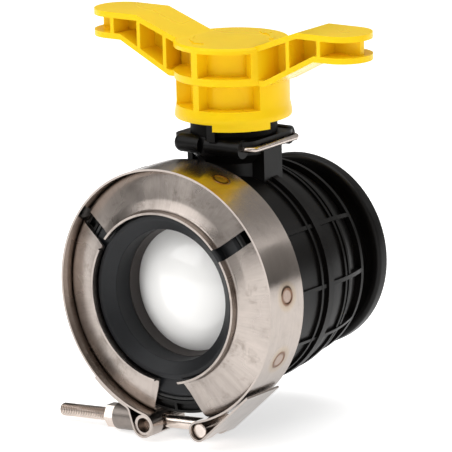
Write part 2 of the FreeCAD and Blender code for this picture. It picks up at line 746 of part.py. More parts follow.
def segment_ring():
    """Whole ring of the pressed V channel, before it is cut in three."""
    outer = band_r - band_thick - weld_gap - segment_thick / 2
    lip = lip_r + segment_thick / 2
    points = [(lip, lip_front_y), (lip, lip_turn_y), (dish_r, dish_y), (outer, wall_mid(outer)),
              (outer, tail_y), (heel_r, heel_y)]
    path = bent(points, segment_bends)
    section = ribbon(path, segment_thick, lambda r, y: V(r, y, 0))
    return section.revolve(V(0, 0, 0), FLOW, 360)


def clamp_segments():
    """Three pressed segments, parted by two parallel gaps above and a splayed gap below."""
    depth = 2 * (heel_y + segment_thick)
    cutters = []
    for angle in (gap_angle, 180 - gap_angle):
        slit = Part.makeBox(band_r, depth, gap_width, V(lip_r / 2, -depth / 2, -gap_width / 2))
        slit.rotate(V(0, 0, 0), FLOW, -angle)
        cutters.append(slit)
    slope = (bottom_gap_outer - bottom_gap_inner) / (band_r - lip_r)
    high, low = lip_r - 10, band_r + 10
    inner = bottom_gap_inner - slope * (lip_r - high)
    outer = bottom_gap_outer + slope * (low - band_r)
    wedge = face_of([V(-inner, -depth / 2, -high), V(inner, -depth / 2, -high),
                     V(outer, -depth / 2, -low), V(-outer, -depth / 2, -low)])
    cutters.append(wedge.extrude(V(0, depth, 0)))
    pieces = segment_ring().cut(cutters).Solids
    return sorted(pieces, key=lambda s: s.CenterOfMass.x)


def pin_centre():
    reach = band_r + loop_gap + pin_r
    return (pin_x, -math.sqrt(reach ** 2 - pin_x ** 2))


def trunnion_centre():
    reach = band_r + trunnion_gap + trunnion_r
    return (trunnion_x, -math.sqrt(reach ** 2 - trunnion_x ** 2))


def bolt_frame():
    """T-head centre and the unit direction along the bolt towards its nut, in the clamp's upright pose."""
    px, pz = pin_centre()
    tx, tz = trunnion_centre()
    length = math.hypot(tx - px, tz - pz)
    middle_y = band_width / 2
    return V(px, middle_y, pz), V((tx - px) / length, 0, (tz - pz) / length)


def right_loop():
    """Strap from the flap's tip, round the T-head, up to the band, as a path."""
    centre = pin_centre()
    radius = pin_r + loop_gap + band_thick / 2
    reach = math.hypot(*centre)
    ray = math.degrees(math.atan2(centre[1], centre[0]))
    stand_off = band_r + band_thick / 2 + flap_lift
    leave = ray + math.degrees(math.acos((stand_off - radius) / reach))
    a = math.radians(leave)
    start = (centre[0] + radius * math.cos(a), centre[1] + radius * math.sin(a))
    run = stand_off * math.tan(math.radians(flap_tip_angle - leave))
    run += reach * math.sin(math.radians(leave - ray))
    tip = (start[0] - run * math.sin(a), start[1] + run * math.cos(a))
    return [("line", tip, start), ("arc", centre, radius, leave + 360, ray + 180)]


def left_loop():
    """Strap from the band round the trunnion and back along the outside of the band."""
    centre = trunnion_centre()
    radius = trunnion_r + trunnion_gap + band_thick / 2
    ray = math.degrees(math.atan2(centre[1], centre[0]))
    d = math.radians(left_flap_direction)
    leave = math.degrees(d) + 90
    step = (math.cos(d), math.sin(d))
    a = math.radians(leave)
    start = (centre[0] + radius * math.cos(a), centre[1] + radius * math.sin(a))
    out = band_r + band_thick / 2 + weld_gap
    bend = left_flap_bend
    base = (start[0] - step[1] * bend, start[1] + step[0] * bend)
    along = base[0] * step[0] + base[1] * step[1]
    rest = base[0] ** 2 + base[1] ** 2 - (out + bend) ** 2
    run = -along - math.sqrt(along ** 2 - rest)
    end = (start[0] + step[0] * run, start[1] + step[1] * run)
    pivot = (base[0] + step[0] * run, base[1] + step[1] * run)
    a0 = math.degrees(math.atan2(end[1] - pivot[1], end[0] - pivot[0]))
    touch = math.degrees(math.atan2(pivot[1], pivot[0]))
    a1 = touch + 180
    while a1 < a0:
        a1 += 360
    return [("arc", centre, radius, ray + 180, leave - 360 if leave > ray + 180 else leave),
            ("line", start, end), ("arc", pivot, bend, a0, a1), ("arc", (0, 0), out, touch, left_flap_angle)]


def clamp_band():
    """Outer strap with a loop and a folded-back flap at each end, slotted where the bolt passes."""
    right = right_loop()
    left = left_loop()
    start = math.degrees(math.atan2(pin_centre()[1], pin_centre()[0]))
    end = math.degrees(math.atan2(trunnion_centre()[1], trunnion_centre()[0])) + 360
    path = right + [("arc", (0, 0), band_r - band_thick / 2, start, end)] + left
    section = ribbon(path, band_thick, lambda x, z: V(x, 0, z))
    solid = section.extrude(V(0, band_width, 0))
    px, pz = pin_centre()
    tx, tz = trunnion_centre()
    y0 = (band_width - slot_width) / 2
    y1 = y0 + slot_width
    pin_loop = pin_r + loop_gap + band_thick
    trunnion_loop = trunnion_r + trunnion_gap + band_thick
    half = bolt_r + 0.85
    head_slot = box(px - pin_loop - 2, px + pin_loop, y0, y1, pz - pin_loop - flap_tip_drop, pz + pin_r)
    bolt_slot = box(tx - 2 * trunnion_loop - 5, tx + trunnion_loop + 2.5, y0, y1, tz - half, tz + half)
    return rolled(solid.cut([head_slot, bolt_slot]))


def t_bolt():
    head, along = bolt_frame()
    length = band_width - 2 * head_inset
    bar = Part.makeCylinder(pin_r, length, V(head.x, head_inset, head.z), FLOW)
    bar = bar.makeFillet(1.0, [e for e in bar.Edges if e.Curve.TypeId == "Part::GeomCircle"])
    shank = Part.makeCylinder(bolt_r, bolt_end, head, along)
    shank = shank.makeChamfer(0.9, [e for e in shank.Edges if (e.CenterOfMass - head).Length > bolt_end - 1
                                    and e.Curve.TypeId == "Part::GeomCircle"])
    return rolled(bar.fuse(shank))


def trunnion():
    tx, tz = trunnion_centre()
    length = band_width - 2 * trunnion_inset
    start = V(tx, trunnion_inset, tz)
    tube_body = Part.makeCylinder(trunnion_r, length, start, FLOW)
    bore = Part.makeCylinder(trunnion_bore_r, length, start, FLOW)
    head, along = bolt_frame()
    cross = Part.makeCylinder(bolt_hole_r, bolt_end, head, along)
    return rolled(tube_body.cut([bore, cross]))


def clamp_nut():
    head, along = bolt_frame()
    start = head + along * nut_start
    nut = turned_hex(nut_flats, nut_thick, start, along)
    hole = Part.makeCylinder(bolt_r + slide_gap, nut_thick + 2, start - along, along)
    return rolled(nut.cut(hole))


def turned_hex(flats, thick, start, along):
    """Hexagonal prism along a direction, with its corners turned off at both faces."""
    across = V(0, 1, 0)
    other = along.cross(across)
    corner_r = flats / math.sqrt(3)
    points = []
    for i in range(6):
        a = math.radians(60 * i)
        points.append(start + across * (corner_r * math.cos(a)) + other * (corner_r * math.sin(a)))
    prism = face_of(points).extrude(along * thick)
    cut = nut_corner_cut
    waist = corner_r - cut
    core = Part.makeCylinder(corner_r, thick - 2 * cut, start + along * cut, along)
    caps = [Part.makeCone(waist, corner_r, cut, start, along),
            Part.makeCone(corner_r, waist, cut, start + along * (thick - cut), along)]
    return prism.common(core.fuse(caps))


def clamp_spacer():
    """Sleeve between the nut and the folded strap, cut to the strap's slope where it bears."""
    head, along = bolt_frame()
    tx, tz = trunnion_centre()
    reach = (V(tx, head.y, tz) - head).Length
    begin = reach + trunnion_r - 1
    sleeve = Part.makeCylinder(spacer_r, nut_start - begin, head + along * begin, along)
    sleeve = sleeve.cut(Part.makeCylinder(bolt_r + slide_gap, nut_start, head, along))
    radius = trunnion_r + trunnion_gap + band_thick + running_gap
    d = math.radians(left_flap_direction)
    step = V(math.cos(d), 0, math.sin(d))
    out = V(-math.sin(d), 0, math.cos(d))
    wide = 4 * spacer_r
    corner = V(tx, 0, tz) + out * radius - step * wide
    strap_side = face_of([corner, corner + step * 2 * wide, corner + step * 2 * wide - out * wide,
                          corner - out * wide])
    return rolled(sleeve.cut(strap_side.extrude(V(0, band_width, 0))))


def container_seal():
    y = seal_groove_floor_y - seal_wire_r - seal_gap / 2
    return ring_seal((carrier_r + flange_inner_r) / 2, seal_wire_r, y)


def carrier_ring():
    pitch = carrier_r - carrier_ring_groove_d + seal_gap / 2 + carrier_ring_wire_r
    return ring_seal(pitch, carrier_ring_wire_r, carrier_ring_y)


os.makedirs("parts", exist_ok=True)
save(valve_body(), "valve_body")
save(seat_carrier(), "seat_carrier")
save(seat(-1), "front_seat")
save(seat(1), "rear_seat")
save(seat_ring(-1), "front_seat_ring")
save(seat_ring(1), "rear_seat_ring")
save(carrier_ring(), "carrier_ring")
save(container_seal(), "container_seal")
save(ball(), "ball")
save(stem(), "stem")
save(stem_ring(stem_ring_heights[0]), "lower_stem_ring")
save(stem_ring(stem_ring_heights[1]), "upper_stem_ring")
save(stem_washer(), "stem_washer")
save(handle(), "handle")
save(retaining_clip(), "retaining_clip")
left_segment, top_segment, right_segment = clamp_segments()
save(rolled(left_segment), "clamp_segment_left")
save(rolled(top_segment), "clamp_segment_top")
save(rolled(right_segment), "clamp_segment_right")
save(clamp_band(), "clamp_band")
save(t_bolt(), "t_bolt")
save(trunnion(), "trunnion")
save(clamp_spacer(), "clamp_spacer")
save(clamp_nut(), "clamp_nut")
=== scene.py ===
"""Looks of a plastic quarter-turn ball valve with a pressed V-band clamp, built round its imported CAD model."""

import json
import math

import bmesh
import bpy
import numpy as np
from bpy.props import FloatProperty, FloatVectorProperty, PointerProperty
from mathutils import Matrix, Vector


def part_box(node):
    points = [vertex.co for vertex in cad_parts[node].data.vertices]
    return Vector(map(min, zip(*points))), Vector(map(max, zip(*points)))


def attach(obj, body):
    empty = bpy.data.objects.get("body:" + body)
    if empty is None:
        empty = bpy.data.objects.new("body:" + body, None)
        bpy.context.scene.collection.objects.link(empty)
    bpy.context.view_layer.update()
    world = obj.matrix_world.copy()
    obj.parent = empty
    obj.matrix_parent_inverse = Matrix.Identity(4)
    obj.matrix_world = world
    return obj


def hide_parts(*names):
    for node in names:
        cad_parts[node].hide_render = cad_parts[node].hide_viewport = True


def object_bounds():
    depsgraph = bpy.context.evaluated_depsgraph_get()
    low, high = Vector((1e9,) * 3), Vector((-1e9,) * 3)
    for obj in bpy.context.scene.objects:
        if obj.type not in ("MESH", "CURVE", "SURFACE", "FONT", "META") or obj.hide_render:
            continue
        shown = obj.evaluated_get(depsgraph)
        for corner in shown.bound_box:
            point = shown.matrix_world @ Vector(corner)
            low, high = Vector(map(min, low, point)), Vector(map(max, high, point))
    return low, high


bl_info = {
    "name": "Ball valve looks",
    "version": (1, 0, 0),
    "blender": (4, 5, 0),
    "location": "View3D > Sidebar > Valve",
    "description": "Surfaces, finishes and a plain studio for a clamped ball valve",
    "category": "Object",
}

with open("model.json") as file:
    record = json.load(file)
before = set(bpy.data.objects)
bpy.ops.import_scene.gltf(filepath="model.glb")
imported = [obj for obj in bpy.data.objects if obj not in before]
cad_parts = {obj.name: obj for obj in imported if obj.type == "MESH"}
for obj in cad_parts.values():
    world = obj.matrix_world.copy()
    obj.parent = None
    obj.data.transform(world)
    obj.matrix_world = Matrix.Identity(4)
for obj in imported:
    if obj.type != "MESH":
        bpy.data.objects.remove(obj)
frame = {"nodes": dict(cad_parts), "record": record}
cad_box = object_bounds()
nodes = frame["nodes"]


class ValveColours(bpy.types.PropertyGroup):
    handle: FloatVectorProperty(name="Handle", description="Yellow of the moulded lever", subtype="COLOR",
                                size=3, default=(0.93, 0.62, 0.006), min=0, max=1)
    body: FloatVectorProperty(name="Body", description="Black of the moulded shell and stem", subtype="COLOR",
                              size=3, default=(0.0034, 0.0029, 0.0026), min=0, max=1)
    carrier: FloatVectorProperty(name="Carrier", description="Dark grey of the turned plug", subtype="COLOR",
                                 size=3, default=(0.0085, 0.0092, 0.0108), min=0, max=1)
    ball: FloatVectorProperty(name="Ball", description="White of the ball", subtype="COLOR",
                              size=3, default=(0.90, 0.895, 0.88), min=0, max=1)
    seat: FloatVectorProperty(name="Seat", description="Dark brown of the seats", subtype="COLOR",
                              size=3, default=(0.030, 0.024, 0.022), min=0, max=1)
    steel: FloatVectorProperty(name="Steel", description="Stainless sheet", subtype="COLOR",
                               size=3, default=(0.435, 0.385, 0.352), min=0, max=1)
    tint: FloatVectorProperty(name="Weld tint", description="Brown of the scorched weld rings", subtype="COLOR",
                              size=3, default=(0.17, 0.095, 0.060), min=0, max=1)
    floor: FloatVectorProperty(name="Floor", description="Pale studio floor", subtype="COLOR",
                               size=3, default=(0.93, 0.93, 0.93), min=0, max=1)


class ValveSizes(bpy.types.PropertyGroup):
    mould_edge: FloatProperty(name="Moulded edge", description="Edge radius of the black mouldings",
                              unit="LENGTH", default=0.0005, min=0, soft_max=0.002)
    handle_edge: FloatProperty(name="Handle edge", description="Edge radius of the lever", unit="LENGTH",
                               default=0.0009, min=0, soft_max=0.002)
    sheet_edge: FloatProperty(name="Sheet edge", description="Edge radius of cut steel sheet", unit="LENGTH",
                              default=0.0002, min=0, soft_max=0.001)
    head_to_nut: FloatProperty(name="Head to nut", description="From the T-head's middle to the nut",
                               unit="LENGTH", default=0.0674)
    bolt_length: FloatProperty(name="Bolt", description="From the T-head's middle to the bolt's end",
                               unit="LENGTH", default=0.1093)
    bolt_plain: FloatProperty(name="Plain shank", description="Bolt without thread, from the T-head's middle",
                              unit="LENGTH", default=0.0450)
    bolt_radius: FloatProperty(name="Bolt radius", description="Over the crests of the thread", unit="LENGTH",
                               default=0.00395)
    head_radius: FloatProperty(name="T-head radius", description="Of the bar that the strap's loop holds",
                               unit="LENGTH", default=0.0046)
    thread_pitch: FloatProperty(name="Thread pitch", description="Of the M8 bolt", unit="LENGTH",
                                default=0.00125)
    thread_depth: FloatProperty(name="Thread depth", description="From crest to root", unit="LENGTH",
                                default=0.00077)
    weld_radius: FloatProperty(name="Weld ring", description="Middle of the raised ring of a spot weld",
                               unit="LENGTH", default=0.0048)
    weld_halo: FloatProperty(name="Weld halo", description="Reach of the heat tint round a weld", unit="LENGTH",
                             default=0.0105)
    weld_rise: FloatProperty(name="Weld rise", description="Height of the ring over the strap", unit="LENGTH",
                             default=0.00022)
    arrow_radius: FloatProperty(name="Arrow radius", description="Of the turn mark on the hub", unit="LENGTH",
                                default=0.0235)
    arrow_rise: FloatProperty(name="Arrow rise", description="Height of the turn mark", unit="LENGTH",
                              default=0.0005)


class ValveCamera(bpy.types.PropertyGroup):
    azimuth: FloatProperty(name="Azimuth", description="Turn of the camera round the valve, in degrees",
                           default=35.9743)
    elevation: FloatProperty(name="Elevation", description="Height of the camera above the horizon, in degrees",
                             default=13.1804)
    roll: FloatProperty(name="Roll", description="Lean of the camera, in degrees", default=-1.4284)
    distance: FloatProperty(name="Distance", description="From the camera to the aim point", unit="LENGTH",
                            default=3.0)
    lens: FloatProperty(name="Lens", description="Focal length in millimetres on a 36 mm sensor", default=412.9)
    aim: FloatVectorProperty(name="Aim", description="Point between body and stem that the view is centred on",
                             subtype="TRANSLATION", size=3, default=(0.0, 0.040, 0.030))
    right: FloatProperty(name="Right", description="Shift of the aim point to the right", unit="LENGTH",
                         default=0.0124366)
    up: FloatProperty(name="Up", description="Shift of the aim point upwards", unit="LENGTH", default=0.003442)


def steps(start, stop, count):
    return np.linspace(start, stop, count)


def grid_mesh(name, points, close_v=False, cap_u=False):
    """Mesh of a (rows, columns, 3) array of points, with quads between neighbours.

    Each row can join end to end. Caps close the first and last rows with one face each.
    """
    rows, columns = points.shape[:2]
    index = np.arange(rows * columns).reshape(rows, columns)
    u0 = index[:-1]
    u1 = index[1:]
    if close_v:
        quads = np.stack([u0, np.roll(u0, -1, 1), np.roll(u1, -1, 1), u1], -1)
    else:
        quads = np.stack([u0[:, :-1], u0[:, 1:], u1[:, 1:], u1[:, :-1]], -1)
    faces = quads.reshape(-1, 4).tolist()
    if cap_u:
        faces += [index[0][::-1].tolist(), index[-1].tolist()]
    mesh = bpy.data.meshes.new(name)
    mesh.from_pydata(points.reshape(-1, 3).tolist(), [], faces)
    return mesh


def tidy_mesh(mesh, merge=0.000001, flat_angle=None):
    """Merges doubled points, dissolves flat joints if asked and turns all faces outwards."""
    work = bmesh.new()
    work.from_mesh(mesh)
    bmesh.ops.remove_doubles(work, verts=work.verts, dist=merge)
    bmesh.ops.dissolve_degenerate(work, edges=work.edges, dist=merge)
    if flat_angle is not None:
        bmesh.ops.dissolve_limit(work, angle_limit=math.radians(flat_angle), verts=work.verts,
                                 edges=work.edges, use_dissolve_boundaries=False, delimit={"NORMAL"})
    bmesh.ops.recalc_face_normals(work, faces=work.faces)
    work.to_mesh(mesh)
    work.free()
    mesh.polygons.foreach_set("use_smooth", np.ones(len(mesh.polygons), bool))
    mesh.update()


def sharpen(mesh, angle):
    """Marks edges sharper than an angle, so that smooth shading stops there."""
    mesh.set_sharp_from_angle(angle=math.radians(angle))


def joined(name, grids):
    """One mesh of several tubes, each given as rows of closed circles and capped at both ends.

    Each comes with a number for every point, which is kept as the attribute "depth".
    """
    work = bmesh.new()
    for points, depth in grids:
        part = grid_mesh(name, points, close_v=True, cap_u=True)
        part.attributes.new("depth", "FLOAT", "POINT").data.foreach_set("value", depth.ravel())
        work.from_mesh(part)
        bpy.data.meshes.remove(part)
    mesh = bpy.data.meshes.new(name)
    work.to_mesh(mesh)
    work.free()
    return mesh


def dress(mesh, material):
    """Gives a mesh one finish in place of those that it has."""
    mesh.materials.clear()
    mesh.materials.append(material)


def place(name, mesh, body, material):
    """Puts a finished mesh in the scene, riding on a body of the valve."""
    piece = bpy.data.objects.new(name, mesh)
    bpy.context.scene.collection.objects.link(piece)
    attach(piece, body)
    dress(mesh, material)
    return piece


def body_of(node):
    for body, members in frame["record"]["behaviour"]["bodies"].items():
        if node in members:
            return body
    raise RuntimeError("no body holds " + node)


def joint_of(name):
    return next(row for row in frame["record"]["behaviour"]["joints"] if row["name"] == name)


def corner_places(mesh):
    corners = np.empty(len(mesh.vertices) * 3)
    mesh.vertices.foreach_get("co", corners)
    return corners.reshape(-1, 3)


def round_edges(piece, width, rings):
    """Adds a rounding of sharp edges to a piece."""
    bevel = piece.modifiers.new("edge_round", "BEVEL")
    bevel.width = width
    bevel.segments = rings
    bevel.limit_method = "ANGLE"
    return bevel


def rounded_copy(node, material, width, angle=30, rings=2):
    """A copy of a node's solid with merged faces and rounded edges, shown in the node's place.

    The rounding is as wide as asked, or as wide as the piece's shortest edges have room for.
    """
    mesh = nodes[node].data.copy()
    mesh.name = node + "_finished"
    if "custom_normal" in mesh.attributes:
        mesh.attributes.remove(mesh.attributes["custom_normal"])
    tidy_mesh(mesh, merge=0.000002, flat_angle=0.6)
    sharpen(mesh, angle)
    piece = place(node + "_finished", mesh, body_of(node), material)
    if width > 0:
        bevel = round_edges(piece, width, rings)
        bevel.miter_outer = "MITER_ARC"
        bevel.angle_limit = math.radians(angle)
        bevel.use_clamp_overlap = True
        bevel.harden_normals = True
    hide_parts(node)
    return piece


def paint(node, material):
    """Gives a node that stays as it is its finish."""
    dress(nodes[node].data, material)


class Finish:
    """A procedural material that is put together step by step, in the object's own coordinates."""

    def __init__(self, name, colour, rough, metal=0.0):
        self.material = bpy.data.materials.new(name)
        self.material.use_nodes = True
        self.tree = self.material.node_tree
        self.shader = self.tree.nodes["Principled BSDF"]
        self.shader.inputs["Base Color"].default_value = (*colour, 1)
        self.shader.inputs["Roughness"].default_value = rough
        self.shader.inputs["Metallic"].default_value = metal
        self.coordinates = self.add("ShaderNodeTexCoord").outputs["Object"]
        self.height = None
        self.tint = None

    def add(self, kind, **settings):
        node = self.tree.nodes.new(kind)
        for key, value in settings.items():
            setattr(node, key, value)
        return node

    def link(self, output, node, name):
        self.tree.links.new(output, node.inputs[name])

    def stretched(self, scale):
        mapping = self.add("ShaderNodeMapping")
        mapping.inputs["Scale"].default_value = scale
        self.link(self.coordinates, mapping, "Vector")
        return mapping.outputs["Vector"]

    def round_flow(self, turn_scale, length_scale):
        """Coordinates that run round the flow axis on a unit circle, so that a pattern has no seam there."""
        parts = self.add("ShaderNodeSeparateXYZ")
        self.link(self.coordinates, parts, 0)
        flat = self.add("ShaderNodeCombineXYZ")
        self.link(parts.outputs["X"], flat, "X")
        self.link(parts.outputs["Z"], flat, "Y")
        length = self.add("ShaderNodeVectorMath", operation="LENGTH")
        self.link(flat.outputs["Vector"], length, 0)
        unit = self.add("ShaderNodeVectorMath", operation="NORMALIZE")
        self.link(flat.outputs["Vector"], unit, 0)
        wide = self.add("ShaderNodeVectorMath", operation="SCALE")
        self.link(unit.outputs["Vector"], wide, 0)
        wide.inputs["Scale"].default_value = turn_scale
        reach = self.add("ShaderNodeMath", operation="MULTIPLY")
        self.link(length.outputs["Value"], reach, 0)
        reach.inputs[1].default_value = length_scale
        rise = self.add("ShaderNodeCombineXYZ")
        self.link(reach.outputs["Value"], rise, "Z")
        total = self.add("ShaderNodeVectorMath", operation="ADD")
        self.link(wide.outputs["Vector"], total, 0)
        self.link(rise.outputs["Vector"], total, 1)
        return total.outputs["Vector"]

    def product(self, first, second):
        """Two colours multiplied."""
        node = self.add("ShaderNodeMix", data_type="RGBA", blend_type="MULTIPLY")
        node.inputs["Factor"].default_value = 1.0
        self.tree.links.new(first, node.inputs[6])
        self.tree.links.new(second, node.inputs[7])
        return node.outputs[2]

    def noise(self, scale, detail, rough=0.5, vector=None, distortion=0.0):
        node = self.add("ShaderNodeTexNoise")
        node.inputs["Scale"].default_value = scale
        node.inputs["Detail"].default_value = detail
        node.inputs["Roughness"].default_value = rough
        node.inputs["Distortion"].default_value = distortion
        self.link(vector or self.coordinates, node, "Vector")
        return node.outputs["Fac"]

    def ramp(self, value, stops):
        """Colour ramp over a value, with stops of (position, colour)."""
        node = self.add("ShaderNodeValToRGB")
        ramp = node.color_ramp
        while len(ramp.elements) < len(stops):
            ramp.elements.new(0.5)
        for element, (position, colour) in zip(ramp.elements, stops):
            element.position = position
            element.color = (*colour, 1)
        self.link(value, node, "Fac")
        return node.outputs["Color"]

    def roughness(self, value, low, high):
        """Maps the middle of a noise value's range to a range of roughness."""
        node = self.add("ShaderNodeMapRange")
        node.inputs["From Min"].default_value = 0.3
        node.inputs["From Max"].default_value = 0.7
        node.inputs["To Min"].default_value = low
        node.inputs["To Max"].default_value = high
        self.link(value, node, "Value")
        self.link(node.outputs["Result"], self.shader, "Roughness")

    def colours(self, value, stops):
        self.link(self.ramp(value, stops), self.shader, "Base Color")

    def bump(self, value, distance, strength):
        """Adds one more relief to the surface; distance is its height in metres."""
        node = self.add("ShaderNodeBump")
        node.inputs["Strength"].default_value = strength
        node.inputs["Distance"].default_value = distance
        self.link(value, node, "Height")
        if self.height:
            self.link(self.height, node, "Normal")
        self.height = node.outputs["Normal"]
        self.link(self.height, self.shader, "Normal")


def shade(colour, factor):
    return tuple(min(1.0, c * factor) for c in colour)


def moulded(name, colour, rough, grain=0.00003, spread=0.25, gloss=0.5):
    """Satin moulded plastic with a fine grain, faint flow marks and uneven gloss."""
    finish = Finish(name, colour, rough)
    cloud = finish.noise(scale=38, detail=4, rough=0.55)
    finish.colours(cloud, [(0.3, shade(colour, 1 - spread)), (0.7, shade(colour, 1 + spread))])
    finish.roughness(finish.noise(scale=24, detail=1, rough=0.4), rough - 0.04, rough + 0.05)
    finish.bump(finish.noise(scale=1300, detail=1, rough=0.4), distance=grain, strength=0.6)
    finish.bump(finish.noise(scale=70, detail=2, rough=0.4), distance=grain * 4, strength=0.5)
    finish.shader.inputs["Specular IOR Level"].default_value = gloss
    return finish


def handle_finish(colour):
    """Glossy yellow plastic that lets a little light through its edges."""
    finish = moulded("handle_moulded_yellow", colour, 0.30, grain=0.000002, spread=0.03, gloss=0.32)
    finish.shader.inputs["Specular Tint"].default_value = (1.0, 0.86, 0.35, 1)
    finish.shader.inputs["Subsurface Weight"].default_value = 0.15
    finish.shader.inputs["Subsurface Radius"].default_value = (1.0, 0.55, 0.1)
    finish.shader.inputs["Subsurface Scale"].default_value = 0.0015
    return finish.material


def ball_finish(colour):
    """White gloss moulding with a faint glow of its own, a painted light that lifts the ball in the bore."""
    finish = moulded("ball_gloss_white", colour, 0.14, grain=0.000004, spread=0.012)
    finish.shader.inputs["Coat Weight"].default_value = 0.4
    finish.shader.inputs["Coat Roughness"].default_value = 0.06
    # Painted light: the ball glows a little of its own, though it is no lamp
    finish.shader.inputs["Emission Color"].default_value = (1, 0.99, 0.975, 1)
    finish.shader.inputs["Emission Strength"].default_value = 0.08
    return finish.material


def sheet_steel(name, colour, rough, smudge, radial):
    """Stainless sheet with rolling streaks, handling smudges and a few darker stains.

    On the pressed segments the streaks run outwards from the flow axis, and on the strap round it.
    """
    finish = Finish(name, colour, rough, 1.0)
    flow = finish.round_flow(turn_scale=90, length_scale=40) if radial else finish.stretched((14, 1500, 14))
    streak = finish.noise(scale=1.0, detail=3, rough=0.6, vector=flow)
    cloud = finish.noise(scale=26, detail=7, rough=0.68, distortion=0.5)
    stain = finish.noise(scale=105, detail=5, rough=0.72, distortion=0.3)
    worn = finish.ramp(cloud, [(0.34, shade(colour, 1 - smudge)), (0.52, colour),
                               (0.72, shade(colour, 1 + smudge * 0.45))])
    stained = (1 - smudge, 1 - smudge * 1.05, 1 - smudge * 1.1)
    stains = finish.ramp(stain, [(0.30, stained), (0.46, (1, 1, 1))])
    lines = finish.ramp(streak, [(0.25, (0.90, 0.895, 0.89)), (0.75, (1.05, 1.05, 1.05))])
    finish.tint = finish.product(finish.product(worn, stains), lines)
    finish.link(finish.tint, finish.shader, "Base Color")
    finish.roughness(finish.noise(scale=30, detail=2, rough=0.5), rough + 0.10, rough - 0.04)
    finish.bump(streak, distance=0.000010, strength=0.4)
    finish.bump(finish.noise(scale=42, detail=2, rough=0.5), distance=0.00012, strength=0.5)
    return finish


def weld_finish(colour, brown):
    """Strap steel that goes from its own colour through straw to brown at the ring of a spot weld."""
    finish = sheet_steel("weld_heat_tint", colour, 0.17, smudge=0.10, radial=False)
    reach = finish.add("ShaderNodeAttribute", attribute_name="reach").outputs["Fac"]
    ragged = finish.add("ShaderNodeMath", operation="MULTIPLY_ADD")
    finish.link(finish.noise(scale=420, detail=4, rough=0.6), ragged, 0)
    ragged.inputs[1].default_value = 0.07
    finish.link(reach, ragged, 2)
    straw = (0.99, 0.94, 0.84)
    burnt = tuple(b / c for b, c in zip(brown, colour))
    stops = [(0.0, (0.86, 0.76, 0.71)), (0.33, (0.86, 0.75, 0.69)), (0.43, burnt), (0.52, burnt),
             (0.62, (0.90, 0.83, 0.72)), (0.78, straw), (0.98, (1, 1, 1))]
    tint = finish.product(finish.tint, finish.ramp(ragged.outputs["Value"], stops))
    finish.link(tint, finish.shader, "Base Color")
    return finish.material


def turned_steel(name, colour, rough):
    """Machined or drawn steel with a fine even grain."""
    finish = Finish(name, colour, rough, 1.0)
    fine = finish.noise(scale=260, detail=2, rough=0.5)
    cloud = finish.noise(scale=70, detail=3, rough=0.55)
    grain = finish.ramp(fine, [(0.3, shade(colour, 0.92)), (0.7, shade(colour, 1.05))])
    marks = finish.ramp(cloud, [(0.35, (0.88, 0.865, 0.85)), (0.6, (1.0, 1.0, 1.0))])
    finish.tint = finish.product(grain, marks)
    finish.link(finish.tint, finish.shader, "Base Color")
    finish.roughness(cloud, rough - 0.03, rough + 0.06)
    finish.bump(fine, distance=0.000004, strength=0.4)
    return finish


def thread_finish(colour):
    """Turned steel whose thread is darkened at its roots: painted shade in the hollows, with some oil and dust.
    """
    finish = turned_steel("bolt_rolled_thread", colour, 0.24)
    depth = finish.add("ShaderNodeAttribute", attribute_name="depth").outputs["Fac"]
    # Painted shade with some oil: the thread's roots darken with their depth
    root_shade_and_oil = finish.ramp(depth, [(0.35, (1, 1, 1)), (0.95, (0.16, 0.145, 0.13))])
    finish.link(finish.product(finish.tint, root_shade_and_oil), finish.shader, "Base Color")
    return finish.material


def rubber_finish():
    black = (0.012, 0.012, 0.012)
    return moulded("seal_rubber_black", black, 0.5, grain=0.00001, spread=0.2).material


def round_bar(radius, start, stop, edge, columns=32):
    """Points of a bar along Y with rounded ends, as rows of circles whose radius follows a quarter round."""
    a = np.radians(steps(0, 90, 5))
    first = np.stack([start + edge * (1 - np.sin(a)), radius - edge * (1 - np.cos(a))], 1)[::-1]
    last = np.stack([stop - edge * (1 - np.sin(a)), radius - edge * (1 - np.cos(a))], 1)
    rows = np.concatenate([first, last])
    turn = steps(0, 2 * math.pi, columns + 1)[:-1]
    y = np.broadcast_to(rows[:, :1], (len(rows), columns))
    return np.stack([rows[:, 1:] * np.cos(turn), y, rows[:, 1:] * np.sin(turn)], -1)


def threaded_shank(sizes, columns=24, rows_per_turn=8):
    """Points of the bolt along its own axis, as rows of circles, and how deep each lies in the thread.

    The radius falls from the crest by the thread's depth, times a flattened triangle wave of the distance
    along the axis in pitches less the turn round it. The wave fades in over two pitches at the plain shank, and
    a cone limits the radius at the end.
    """
    crest_share = 0.12
    flank_share = 0.70
    end_bevel = 0.0009
    thread = sizes.bolt_length - sizes.bolt_plain
    count = int(thread / sizes.thread_pitch * rows_per_turn)
    plain = [0.0, sizes.bolt_plain * 0.5]
    s = np.concatenate([plain, steps(sizes.bolt_plain, sizes.bolt_length, count)])
    turn = steps(0, 2 * math.pi, columns + 1)[:-1]
    s, turn = np.meshgrid(s, turn, indexing="ij")
    phase = (s / sizes.thread_pitch - turn / (2 * math.pi)) % 1.0
    wave = np.clip((np.abs(2 * phase - 1) - crest_share) / flank_share, 0, 1)
    fade = np.clip((s - sizes.bolt_plain) / (2 * sizes.thread_pitch), 0, 1)
    depth = wave * fade
    radius = sizes.bolt_radius - sizes.thread_depth * depth
    radius = np.minimum(radius, sizes.bolt_radius - end_bevel + (sizes.bolt_length - s))
    return s, radius * np.cos(turn), radius * np.sin(turn), depth


def hub_top(stem_y):
    """Height of the hub's flat top: the handle's highest corner between the arms and off the hub's middle."""
    arm_root = 0.034
    middle = 0.018
    corners = corner_places(nodes["handle"].data)
    near = (np.abs(corners[:, 0]) < arm_root) & (np.abs(corners[:, 1] - stem_y) > middle)
    return corners[near, 2].max()


